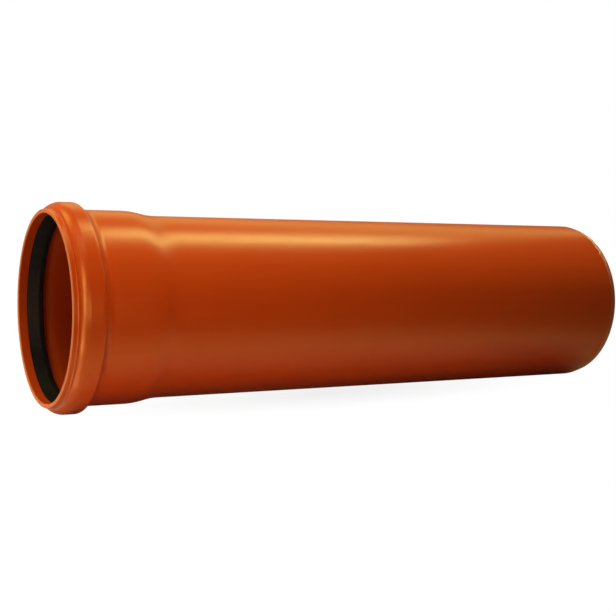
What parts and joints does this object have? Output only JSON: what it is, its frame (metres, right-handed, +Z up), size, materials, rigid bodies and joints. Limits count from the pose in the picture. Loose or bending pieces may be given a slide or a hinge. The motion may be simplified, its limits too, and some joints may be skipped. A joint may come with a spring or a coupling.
{
  "type": "sewer pipe",
  "caption": "Plain-ended drain pipe with a belled socket; a rubber ring in the socket's bead seals the next pipe's spigot.",
  "frame": {"origin": "on the floor, half way along the pipe and right under its axis", "axes": "+X along the pipe towards the plain spigot end, +Z up; the pipe lies on its bead and on its spigot end, so its axis falls 1.05 degrees towards +X"},
  "size_m": [0.5768, 0.1798, 0.18],
  "materials": {
    "pvc": "orange-brown PVC-U, smooth and semi-gloss as extruded",
    "rubber": "black rubber, satin"
  },
  "bodies": {
    "root": {"pipe": "pvc", "sealing_ring": "rubber"}
  },
  "joints": []
}
